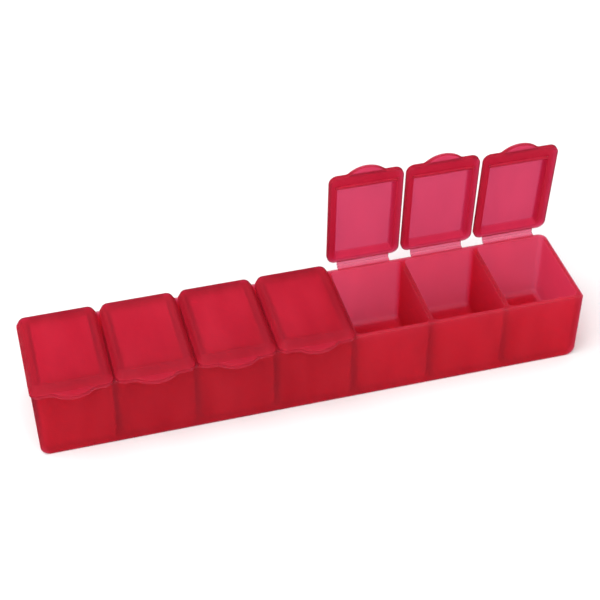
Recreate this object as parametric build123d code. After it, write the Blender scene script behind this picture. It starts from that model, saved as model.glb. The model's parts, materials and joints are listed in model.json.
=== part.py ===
"""Weekly pill box: a long tray of equal compartments, each shut by its own snap lid on a living hinge."""
import os

from build123d import *

# Tray, in millimetres and degrees
compartments = 7
tray_length = 152.0
tray_depth = 29.2
tray_height = 21.8
wall = 1.2
divider = 1.2
floor = 1.2
outer_draft = 0.75
rear_corner_radius = 2.4
foot_radius = 2.7
front_edge_radius = 0.5
rim_edge_radius = 0.2
pocket_draft = 0.5
pocket_radius = 1.2

# Lids
lid_gap = 0.7
lid_end_overhang = 0.4
lid_front_overhang = 1.45
lid_height = 2.95
lid_lip = 1.3
lid_lip_edge_radius = 0.2
lid_ledge = 0.1
lid_skin = 1.1
lid_corner_radius = 2.4
lid_top_corner_radius = 1.6
lid_top_edge_radius = 1.3
lid_side_slope = 1.0
lid_front_slope = 1.9
lid_rear_slope = 0.35
seat_gap = 0.1

# Recess under each lid: width of the rim round it, and how far its walls lean in
recess_side_rim = 2.0
recess_rear_rim = 1.6
recess_side_lean = 0.8
recess_front_lean = 0.2
recess_rear_lean = 1.2
recess_corner_radius = 0.7
recess_roof_radius = 0.4

# Snap rib that drops behind the tray's front wall
rib_thickness = 0.8
rib_depth = 0.6
rib_clearance = 0.2
rib_edge_radius = 0.25

# Thumb tab on the front lip: its reach, and the straight lip left beside it at each corner
tab_reach = 2.25
tab_shoulder = 2.8
tab_blend_radius = 1.5

# Living hinge: two leaves that meet at a rounded fold
leaf_length = 1.25
leaf_end_margin = 0.55
leaf_root_thickness = 0.8
leaf_fold_thickness = 0.45
fold_radius = 0.3
fold_clearance = 0.05

# Lids that stand open at rest, at the right-hand end, with the angle each hinge settles at
open_angles = (86.1, 85.4, 83.8)

# Worked-out places
pitch = tray_length / compartments
half_length = tray_length / 2
half_depth = tray_depth / 2
lid_seat = tray_height + seat_gap
lid_front = -half_depth - lid_front_overhang
lid_straight_half = (pitch - lid_gap) / 2 - lid_corner_radius
tab_half = lid_straight_half - tab_shoulder
tab_radius = (tab_half**2 + tab_reach**2) / (2 * tab_reach)
leaf_width = 2 * (lid_straight_half - leaf_end_margin)
fold_y = half_depth + leaf_length
fold_z = tray_height + seat_gap / 2
fold_line = Axis((0, fold_y, fold_z), (-1, 0, 0))
first_open = compartments - len(open_angles)


def compartment_centre(index):
    """Middle of a compartment along the tray, counted from 0 at the left."""
    return -half_length + pitch * (index + 0.5)


def pocket_sides(index):
    """Left and right walls of a compartment's hollow, at the rim."""
    left = -half_length + pitch * index + divider / 2
    right = -half_length + pitch * (index + 1) - divider / 2
    if index == 0:
        left = -half_length + wall
    if index == compartments - 1:
        right = half_length - wall
    return left, right


def rectangle_between(low, high, z):
    """Rectangle face between two plan corners, at a height."""
    width = high[0] - low[0]
    depth = high[1] - low[1]
    centre = Pos((low[0] + high[0]) / 2, (low[1] + high[1]) / 2, z)
    return centre * Rectangle(width, depth)


def rounded_between(low, high, radius, z):
    """Rectangle face between two plan corners, with all four corners rounded."""
    width = high[0] - low[0]
    depth = high[1] - low[1]
    centre = Pos((low[0] + high[0]) / 2, (low[1] + high[1]) / 2, z)
    return centre * RectangleRounded(width, depth, radius)


def nearest_vertex(sketch, place):
    """The sketch's corner that lies nearest a place."""
    return sketch.vertices().sort_by_distance(place)[0]


def tray_block():
    """Drafted outer block: rounded rear corners, rounded foot, softened front edges."""
    rim = rectangle_between((-half_length, -half_depth), (half_length, half_depth), tray_height)
    rear_corners = rim.vertices().group_by(Axis.Y)[-1]
    rim = fillet(rear_corners, rear_corner_radius)
    block = extrude(rim, amount=tray_height, dir=(0, 0, -1), taper=outer_draft)

    foot_edges = block.faces().sort_by(Axis.Z)[0].edges()
    behind_front = foot_edges.sort_by(Axis.Y)[1:]
    block = fillet(behind_front, foot_radius)

    front_edges = block.faces().sort_by(Axis.Y)[0].edges()
    below_rim = front_edges.sort_by(Axis.Z)[:-1]
    return fillet(below_rim, front_edge_radius)


def upright_edges(hollow):
    """Edges that run down a compartment's corners."""
    return hollow.edges().filter_by(lambda edge: edge.bounding_box().size.Z > tray_height / 2)


def pocket(index):
    """One compartment's hollow, drafted, with its corners and its floor edge rounded alike."""
    left, right = pocket_sides(index)
    mouth = rectangle_between((left, -half_depth + wall), (right, half_depth - wall), tray_height)
    hollow = extrude(mouth, amount=tray_height - floor, dir=(0, 0, -1), taper=pocket_draft)
    floor_edges = hollow.faces().sort_by(Axis.Z)[0].edges()
    return fillet(upright_edges(hollow) + floor_edges, pocket_radius)


def tray():
    """The whole tray, open at the top of every compartment."""
    body = tray_block()
    for index in range(compartments):
        body -= pocket(index)
    rim = body.faces().sort_by(Axis.Z)[-1]
    return fillet(rim.edges(), rim_edge_radius)


def lid_sides(index):
    """Left and right edges of a lid. The two end lids reach past the tray's ends."""
    left = -half_length + pitch * index + lid_gap / 2
    right = -half_length + pitch * (index + 1) - lid_gap / 2
    if index == 0:
        left = -half_length - lid_end_overhang
    if index == compartments - 1:
        right = half_length + lid_end_overhang
    return left, right


def lip_with_tab(index):
    """The lid's flat lip, with the thumb tab blended into its front edge."""
    left, right = lid_sides(index)
    middle = compartment_centre(index)
    lip = rounded_between((left, lid_front), (right, half_depth), lid_corner_radius, lid_seat)
    disc = Pos(middle, lid_front + tab_radius - tab_reach, lid_seat) * Circle(tab_radius)
    front_zone = rectangle_between(
        (left, lid_front - 2 * tab_reach), (right, lid_front + lid_corner_radius), lid_seat
    )
    outline = lip + (disc & front_zone)
    left_join = nearest_vertex(outline, (middle - tab_half, lid_front, lid_seat))
    right_join = nearest_vertex(outline, (middle + tab_half, lid_front, lid_seat))
    outline = fillet([left_join, right_join], tab_blend_radius)
    plate = extrude(outline, amount=lid_lip, dir=(0, 0, 1))
    rims = plate.faces().sort_by(Axis.Z)[0].edges() + plate.faces().sort_by(Axis.Z)[-1].edges()
    return fillet(rims, lid_lip_edge_radius)


def lid_dome(index):
    """Steep sides and flat top, set in from the lip's edge by a narrow ledge."""
    left, right = lid_sides(index)
    foot_low = (left + lid_ledge, lid_front + lid_ledge)
    foot_high = (right - lid_ledge, half_depth - lid_ledge)
    foot = rounded_between(foot_low, foot_high, lid_corner_radius - lid_ledge, lid_seat + lid_lip)
    top_low = (foot_low[0] + lid_side_slope, foot_low[1] + lid_front_slope)
    top_high = (foot_high[0] - lid_side_slope, foot_high[1] - lid_rear_slope)
    top = rounded_between(top_low, top_high, lid_top_corner_radius, lid_seat + lid_height)
    dome = loft([foot.face(), top.face()], ruled=True)
    return fillet(dome.faces().sort_by(Axis.Z)[-1].edges(), lid_top_edge_radius)


def lid_recess(index):
    """Shallow hollow under the lid, open downwards, with leaning walls."""
    middle = compartment_centre(index)
    half_width = (pitch - lid_gap) / 2 - recess_side_rim
    low = (middle - half_width, -half_depth + wall + rib_clearance + rib_thickness)
    high = (middle + half_width, half_depth - recess_rear_rim)
    mouth = rounded_between(low, high, recess_corner_radius, lid_seat)
    roof = rounded_between(
        (low[0] + recess_side_lean, low[1] + recess_front_lean),
        (high[0] - recess_side_lean, high[1] - recess_rear_lean),
        recess_corner_radius,
        lid_seat + lid_height - lid_skin,
    )
    hollow = loft([mouth.face(), roof.face()], ruled=True)
    return fillet(hollow.faces().sort_by(Axis.Z)[-1].edges(), recess_roof_radius)


def snap_rib(index):
    """Rib along the front of the recess, which drops behind the tray's front wall."""
    left, right = pocket_sides(index)
    end_room = pocket_radius + rib_clearance
    front = -half_depth + wall + rib_clearance
    section = rectangle_between(
        (left + end_room, front), (right - end_room, front + rib_thickness), lid_seat - rib_depth
    )
    rib = extrude(section, amount=rib_depth + lid_lip, dir=(0, 0, 1))
    return fillet(rib.faces().sort_by(Axis.Z)[0].edges(), rib_edge_radius)


def lid(index):
    """One lid, shut: lip and tab, dome, recess and snap rib."""
    shell = lip_with_tab(index) + lid_dome(index)
    shell -= lid_recess(index)
    return shell + snap_rib(index)


def leaf_section(root_z, side):
    """Tapered leaf from the rim to the fold. Side is 1 above the fold line and -1 below it."""
    outline = Polyline(
        (half_depth, root_z),
        (fold_y, root_z),
        (fold_y, root_z + side * leaf_fold_thickness),
        (half_depth, root_z + side * leaf_root_thickness),
        close=True,
    )
    return make_face(outline)


def hinge_strip(index, section):
    """A hinge section drawn out to the strip's width, behind its compartment."""
    strip = extrude(Plane.YZ * section, amount=leaf_width / 2, both=True)
    return Pos(compartment_centre(index), 0, 0) * strip


def tray_hinge_leaf(index):
    """The tray's half of the living hinge, which carries the rounded fold."""
    fold = Pos(fold_y, fold_z) * Circle(fold_radius)
    return hinge_strip(index, leaf_section(tray_height, -1) + fold)


def lid_hinge_leaf(index):
    """The lid's half of the living hinge, which turns round the fold."""
    fold_room = Pos(fold_y, fold_z) * Circle(fold_radius + fold_clearance)
    return hinge_strip(index, leaf_section(lid_seat, 1) - fold_room)


os.makedirs("parts", exist_ok=True)
export_step(tray(), "parts/tray.step")
for index in range(compartments):
    number = index + 1
    angle = open_angles[index - first_open] if index >= first_open else 0
    lid_leaf = lid_hinge_leaf(index)
    export_step(lid(index).rotate(fold_line, angle), f"parts/lid_{number}.step")
    export_step(lid_leaf.rotate(fold_line, angle), f"parts/lid_hinge_leaf_{number}.step")
    export_step(tray_hinge_leaf(index), f"parts/tray_hinge_leaf_{number}.step")
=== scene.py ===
# %% [markdown]
# A weekly pill box in frosted red plastic. The real one is a single polypropylene moulding: a tray of
# seven compartments and seven snap lids, each held by a thin strip that bends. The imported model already
# holds every piece at its true size, so it is loaded first, and what follows is camera, light and finish.

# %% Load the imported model
import json
import math

import bmesh
import bpy
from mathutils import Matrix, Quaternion, Vector

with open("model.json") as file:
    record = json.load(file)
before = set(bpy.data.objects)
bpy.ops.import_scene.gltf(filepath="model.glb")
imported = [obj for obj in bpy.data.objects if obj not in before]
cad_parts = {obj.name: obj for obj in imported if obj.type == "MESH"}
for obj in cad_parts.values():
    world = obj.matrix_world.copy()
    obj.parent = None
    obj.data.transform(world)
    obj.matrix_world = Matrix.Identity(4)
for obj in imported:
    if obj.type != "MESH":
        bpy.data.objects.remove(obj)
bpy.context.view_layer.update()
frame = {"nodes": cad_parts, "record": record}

MM = 0.001
nodes = frame["nodes"]
scene = bpy.context.scene

# %% [markdown]
# The camera stands in front of the box, a little to its left, and looks down at about forty degrees. Its
# place could be found by hand in the viewport. Numbers worked out from the four corners of the tray's rim
# are surer, because distance and lens together fix how fast the long tray narrows towards its far end.

# %% Camera
camera_target = Vector((-4.7, -14.6, 38.5)) * MM
camera_distance = 390.6 * MM
camera_azimuth = math.radians(-14.68)
camera_elevation = math.radians(40.39)
camera_roll = math.radians(-0.46)
camera_lens = 90.97
camera_sensor = 36.0
nearest_seen = 10 * MM


def direction(azimuth, elevation):
    """Unit vector towards a place round the box. Azimuth 0 is in front of it, 90 degrees to its right."""
    level = math.cos(elevation)
    return Vector((math.sin(azimuth) * level, -math.cos(azimuth) * level, math.sin(elevation)))


towards_camera = direction(camera_azimuth, camera_elevation)
camera_data = bpy.data.cameras.new("photo_camera")
camera_data.lens = camera_lens
camera_data.sensor_width = camera_sensor
camera_data.clip_start = nearest_seen
camera = bpy.data.objects.new("photo_camera", camera_data)
camera.rotation_mode = "QUATERNION"
camera.location = camera_target + towards_camera * camera_distance
aim = (-towards_camera).to_track_quat("-Z", "Y")
camera.rotation_quaternion = aim @ Quaternion((0, 0, 1), camera_roll)
scene.collection.objects.link(camera)
scene.camera = camera
print("camera at", [round(value / MM) for value in camera.location], "mm")

# %% [markdown]
# The box stands on a wide sheet of white paper. A plane with an edge would show a horizon when the camera
# moves, so the sheet is several metres wide. It lies a hair below the tray's foot, because two faces at one
# height flicker. The paper is a light grey: under strong light it still turns out white, and it sends less
# light back up through the plastic.

# %% Paper floor
floor_side = 6.0
floor_drop = 0.05 * MM
paper_grey = 0.7
paper_roughness = 0.9

floor_mesh = bpy.data.meshes.new("studio_floor")
floor_shape = bmesh.new()
bmesh.ops.create_grid(floor_shape, x_segments=1, y_segments=1, size=floor_side / 2)
bmesh.ops.translate(floor_shape, verts=floor_shape.verts, vec=(0, 0, -floor_drop))
floor_shape.to_mesh(floor_mesh)
floor_shape.free()
floor = bpy.data.objects.new("studio_floor", floor_mesh)
scene.collection.objects.link(floor)

paper = bpy.data.materials.new("studio_paper")
paper.use_nodes = True
paper_shader = paper.node_tree.nodes["Principled BSDF"]
paper_shader.inputs["Base Color"].default_value = (paper_grey, paper_grey, paper_grey, 1.0)
paper_shader.inputs["Roughness"].default_value = paper_roughness
floor_mesh.materials.append(paper)
print("floor:", floor_side, "m wide")

# %% [markdown]
# Frosted plastic looks dull under a small lamp and glows under broad, even light. So the room itself is
# white, a wide softbox hangs above the camera's left shoulder, and a weaker one stands low on its right to
# lift the long front wall. A single sun lamp would be simpler, but it would draw a hard shadow. These are
# strong enough to burn the paper out to white, which leaves only a faint shadow under the foot.

# %% Studio light
room_colour = (1.0, 1.0, 1.0, 1.0)
room_strength = 0.68

room = bpy.data.worlds.new("studio_room")
room.use_nodes = True
sky = room.node_tree.nodes["Background"]
sky.inputs["Color"].default_value = room_colour
sky.inputs["Strength"].default_value = room_strength
scene.world = room
scene.view_settings.view_transform = "Standard"


def softbox(name, azimuth, elevation, distance, side, watts):
    """A square studio light that faces the box."""
    light = bpy.data.lights.new(name, "AREA")
    light.shape = "SQUARE"
    light.size = side
    light.energy = watts
    lamp = bpy.data.objects.new(name, light)
    towards_lamp = direction(math.radians(azimuth), math.radians(elevation))
    lamp.location = towards_lamp * distance
    lamp.rotation_mode = "QUATERNION"
    lamp.rotation_quaternion = (-towards_lamp).to_track_quat("-Z", "Y")
    scene.collection.objects.link(lamp)
    print(name, "at", [round(value, 2) for value in lamp.location], "m")


softbox("top_softbox", azimuth=-60, elevation=62, distance=1.2, side=1.2, watts=20.5)
softbox("front_softbox", azimuth=25, elevation=25, distance=1.4, side=0.9, watts=6.5)

# %% [markdown]
# The plastic is tinted all the way through, so its colour follows its thickness: the hinge strips and the
# thin lid panels are pink, the walls are red, and the solid rims round the lids are deepest. It is also not
# quite even: the melt leaves faint streaks, and the frost on its face is worn a little smoother in places.
# A picture could hold such marks, but noise needs no picture. It reads Object coordinates, so the marks stay
# on the piece when a lid turns, and each pattern is only a noise with its own size along the three axes.

# %% Patterns in the plastic
noise_roughness = 0.5
noise_middle = (0.3, 0.7)


def add_node(material, kind, **inputs):
    """A new shader node with the inputs named here set. An underscore stands for a space."""
    node = material.node_tree.nodes.new(kind)
    for socket, value in inputs.items():
        node.inputs[socket.replace("_", " ")].default_value = value
    return node


def connect(material, source, target):
    """Leads one node's output to another node's input."""
    material.node_tree.links.new(source, target)


def pattern(material, patches, detail):
    """Noise on the piece's own place in the box. Patches says how many lie in a metre along X, Y and Z."""
    place = add_node(material, "ShaderNodeTexCoord")
    mapping = add_node(material, "ShaderNodeMapping", Scale=patches)
    noise = add_node(material, "ShaderNodeTexNoise", Scale=1.0, Detail=detail, Roughness=noise_roughness)
    connect(material, place.outputs["Object"], mapping.inputs["Vector"])
    connect(material, mapping.outputs["Vector"], noise.inputs["Vector"])
    return noise.outputs["Fac"]


def stretched(material, source, low, high):
    """The middle of a noise pattern stretched to run from one number to another."""
    start, end = noise_middle
    ramp = add_node(material, "ShaderNodeMapRange", From_Min=start, From_Max=end, To_Min=low, To_Max=high)
    connect(material, source, ramp.inputs["Value"])
    return ramp.outputs["Result"]


print("noise is used from", noise_middle[0], "to", noise_middle[1])

# %% [markdown]
# The frost comes from a mould with a matt face: shallow pits, a few tenths of a millimetre wide, which
# scatter light. They could be modelled, but so many of them would swamp the mesh, so a weak bump stands for
# them. Handling wears them smoother in patches, and a roughness that changes from place to place shows that.

# %% Frost on the face
frost_grain = (2600.0, 2600.0, 2600.0)
frost_detail = 2.0
frost_depth = 0.02 * MM
frost_strength = 0.15
frost_roughness = (0.45, 0.55)
worn_patches = (140.0, 140.0, 140.0)
mark_detail = 3.0


def frosted_face(material):
    """The bump of the frost, and the roughness that is left where the frost is worn."""
    frost = add_node(material, "ShaderNodeBump", Strength=frost_strength, Distance=frost_depth)
    connect(material, pattern(material, frost_grain, frost_detail), frost.inputs["Height"])
    worn = stretched(material, pattern(material, worn_patches, mark_detail), *frost_roughness)
    return frost.outputs["Normal"], worn


print("frost pits:", round(1 / frost_grain[0] / MM, 2), "mm wide")
print("worn patches:", round(1 / worn_patches[0] / MM, 1), "mm wide")

# %% [markdown]
# Most of the light that meets frosted plastic passes through. A rough Refraction shader lets what lies close
# behind show, blurred. A Glass shader could do that too, but it mirrors light inside, which turns thick edges
# white. Refraction alone loses that light, and gives the dark outline that thick frosted edges have. A
# Translucent shader spreads the part of the light that loses its way inside.

# %% Light that passes through
clear_colour = (0.98, 0.95, 0.96, 1.0)
glow_colour = (0.95, 0.8, 0.85, 1.0)


def mixed(material, share, first, second):
    """Two shaders in one. Share says how much of the second there is."""
    mix = add_node(material, "ShaderNodeMixShader", Fac=share)
    first_input, second_input = mix.inputs[1:]
    connect(material, first, first_input)
    connect(material, second, second_input)
    return mix.outputs["Shader"]


def passing_light(material, frost, worn, bend, spread_share):
    """What gets through. Bend is how far the plastic turns light aside, spread_share what is spread."""
    clear = add_node(material, "ShaderNodeBsdfRefraction", Color=clear_colour, IOR=bend)
    connect(material, worn, clear.inputs["Roughness"])
    connect(material, frost, clear.inputs["Normal"])
    glow = add_node(material, "ShaderNodeBsdfTranslucent", Color=glow_colour)
    connect(material, frost, glow.inputs["Normal"])
    return mixed(material, spread_share, clear.outputs["BSDF"], glow.outputs["BSDF"])


print("clear colour:", clear_colour[:3], "glow colour:", glow_colour[:3])

# %% [markdown]
# The rest of the light is sent back by the pigment in the plastic. A Diffuse shader could do that, but the
# real face also has a very weak gloss. A Principled shader holds both, and its colour follows the streaks.

# %% Light that the pigment sends back
pigment_bend = 1.25
pigment_clearness = 0.3
pigment_gloss = 0.15


def pigment_light(material, frost, worn, streaks, deep_colour, pale_colour):
    """What comes back: a deep and a pale shade of the pigment in streaks, under a very weak gloss."""
    streaked = add_node(material, "ShaderNodeValToRGB")
    deep_stop, pale_stop = streaked.color_ramp.elements
    deep_stop.position, pale_stop.position = noise_middle
    deep_stop.color = deep_colour
    pale_stop.color = pale_colour
    connect(material, pattern(material, streaks, mark_detail), streaked.inputs["Fac"])

    pigment = material.node_tree.nodes["Principled BSDF"]
    pigment.inputs["IOR"].default_value = pigment_bend
    pigment.inputs["Transmission Weight"].default_value = pigment_clearness
    pigment.inputs["Specular IOR Level"].default_value = pigment_gloss
    connect(material, streaked.outputs["Color"], pigment.inputs["Base Color"])
    connect(material, worn, pigment.inputs["Roughness"])
    connect(material, frost, pigment.inputs["Normal"])
    return pigment.outputs["BSDF"]


print("pigment gloss:", pigment_gloss)

# %% [markdown]
# The tint is what makes the plastic red. It could be painted place by place, but that would suit one view
# only. Here a Volume Absorption node takes out green and blue along the way that light travels inside, and
# every wall gets its own shade from its shape.

# %% Frosted plastic
tint_per_metre = 1500.0


def frosted_plastic(
    name, bend, spread_share, tint_colour, streaks, pigment_deep, pigment_pale, pigment_share
):
    """Tinted polypropylene with a fine frost on its face and faint streaks from its moulding."""
    material = bpy.data.materials.new(name)
    material.use_nodes = True
    frost, worn = frosted_face(material)
    passing = passing_light(material, frost, worn, bend, spread_share)
    returned = pigment_light(material, frost, worn, streaks, pigment_deep, pigment_pale)
    face = mixed(material, pigment_share, passing, returned)
    tint = add_node(material, "ShaderNodeVolumeAbsorption", Color=tint_colour, Density=tint_per_metre)

    output = material.node_tree.nodes["Material Output"]
    connect(material, face, output.inputs["Surface"])
    connect(material, tint.outputs["Volume"], output.inputs["Volume"])
    print(name, "has", len(material.node_tree.nodes), "nodes")
    return material


print("tint:", tint_per_metre, "per metre")

# %% [markdown]
# Tray, lids and hinges come out of one mould in one plastic, yet they are not quite alike. The streaks follow
# the way each piece filled: along the tray's walls, from hinge to tab on the lids. A hinge strip is bent
# again and again, and its plastic turns whitish along the fold. Its pale shade, in fine lines along the fold,
# is partly that whitening and partly a painted highlight for the glints the bent strip catches. The lids'
# tint is a little deeper than the tray's, which keeps their solid rims dark beside the thin panels. One
# material could serve all three, but three calls of one function keep the shared recipe and change only what
# differs.
# The packed record says which slot each piece belongs to, so no list of names is needed here.

# %% Finish for each slot
plastics = {
    "tray_plastic": frosted_plastic(
        "frosted_tray",
        bend=1.1,
        spread_share=0.3,
        tint_colour=(0.95, 0.14, 0.44, 1.0),
        streaks=(180.0, 60.0, 45.0),
        pigment_deep=(0.64, 0.026, 0.052, 1.0),
        pigment_pale=(0.76, 0.04, 0.072, 1.0),
        pigment_share=0.3,
    ),
    "lid_plastic": frosted_plastic(
        "frosted_lid",
        bend=1.2,
        spread_share=0.15,
        tint_colour=(0.84, 0.0, 0.37, 1.0),
        streaks=(210.0, 50.0, 50.0),
        pigment_deep=(0.74, 0.026, 0.06, 1.0),
        pigment_pale=(0.86, 0.04, 0.082, 1.0),
        pigment_share=0.33,
    ),
    "hinge_film": frosted_plastic(
        "bent_hinge",
        bend=1.22,
        spread_share=0.3,
        tint_colour=(0.9, 0.0, 0.4, 1.0),
        streaks=(50.0, 1500.0, 1500.0),
        pigment_deep=(0.78, 0.03, 0.07, 1.0),
        # The pale shade is partly the whitening of the bent plastic and partly a painted highlight for the
        # strip's glints.
        pigment_pale=(0.95, 0.16, 0.25, 1.0),
        pigment_share=0.3,
    ),
}
for subpart in frame["record"]["subparts"]:
    node = nodes[subpart["node"]]
    node.data.materials.clear()
    node.data.materials.append(plastics[subpart["material_slot"]])
